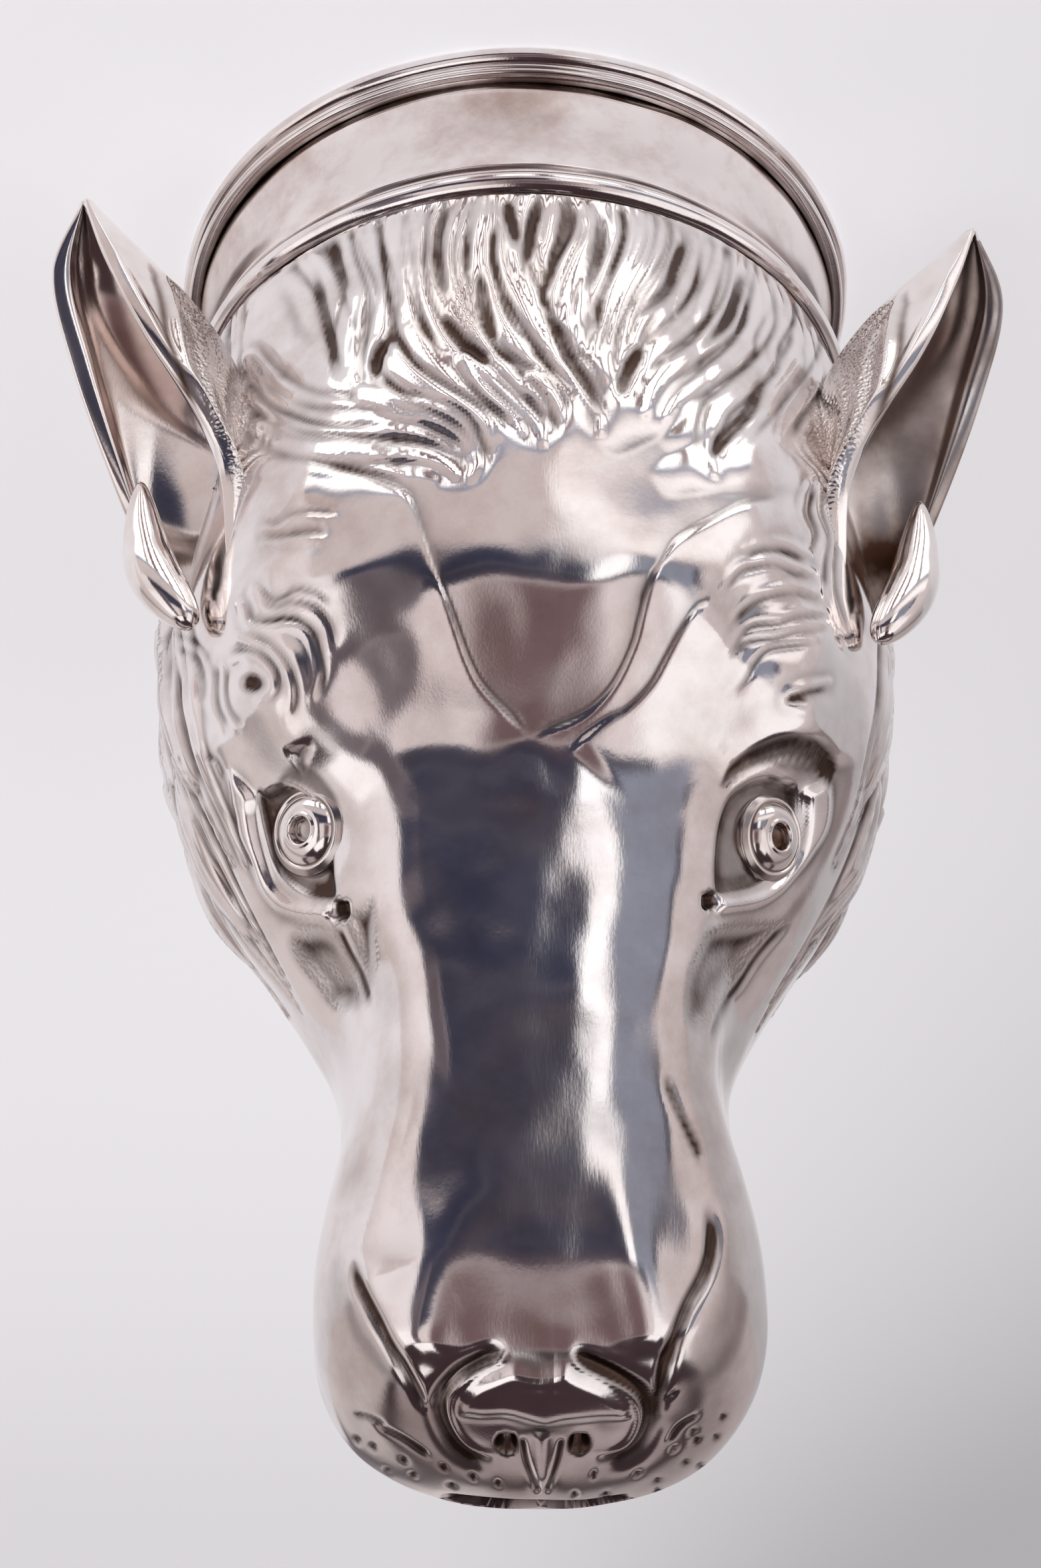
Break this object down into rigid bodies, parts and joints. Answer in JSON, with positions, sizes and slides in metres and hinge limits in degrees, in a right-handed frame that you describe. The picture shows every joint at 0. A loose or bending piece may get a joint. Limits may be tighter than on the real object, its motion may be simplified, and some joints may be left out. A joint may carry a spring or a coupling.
{
  "type": "stirrup cup",
  "caption": "Polished silver stirrup cup in the form of a fox's head, with chased fur, cupped ears and a plain collar with a reeded lip",
  "frame": {"origin": "centre of the rim plane, which the cup stands on mouth down", "axes": "+Z from the rim to the nose, -Y towards the forehead and eyes, +Y towards the jaw, -X the fox's left"},
  "size_m": [0.0964, 0.078, 0.133],
  "materials": {
    "silver": "polished silver, tarnish in the recesses",
    "silver_cast": "cast and polished silver"
  },
  "bodies": {
    "root": {"head_left_half": "silver", "head_right_half": "silver", "collar": "silver", "lip_moulding": "silver", "neck_bead": "silver", "left_ear": "silver_cast", "right_ear": "silver_cast", "left_eye": "silver_cast", "right_eye": "silver_cast"}
  },
  "joints": []
}
